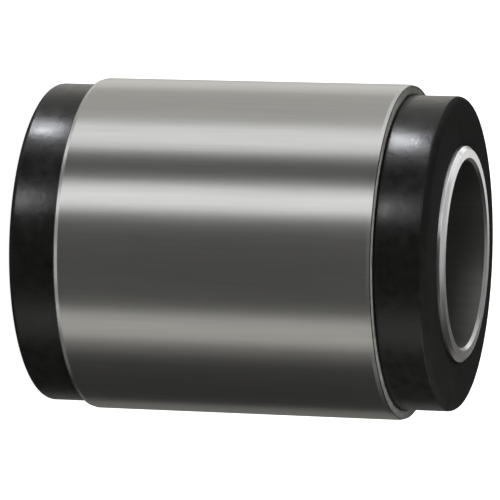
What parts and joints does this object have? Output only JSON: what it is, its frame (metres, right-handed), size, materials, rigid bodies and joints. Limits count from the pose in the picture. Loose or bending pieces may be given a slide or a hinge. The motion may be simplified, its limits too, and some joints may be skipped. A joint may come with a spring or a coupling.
{
  "type": "beam end bushing",
  "caption": "Bonded rubber bushing: a wide steel outer sleeve and a longer steel inner sleeve joined by a black rubber bush whose round collars stand out of both ends.",
  "frame": {"origin": "middle of the bore, halfway between the inner sleeve's end faces", "axes": "+Z along the bore, towards the end whose rubber collar is the slimmer and longer one"},
  "size_m": [0.1396, 0.1396, 0.182],
  "materials": {
    "outer_sleeve": "fine ground steel, satin, with soft lines round the tube",
    "rubber_bush": "moulded black rubber with a soft sheen",
    "inner_sleeve": "turned bright ends, dull dark bore"
  },
  "bodies": {
    "root": {"outer_sleeve": "outer_sleeve", "rubber_bush": "rubber_bush", "inner_sleeve": "inner_sleeve"}
  },
  "joints": []
}
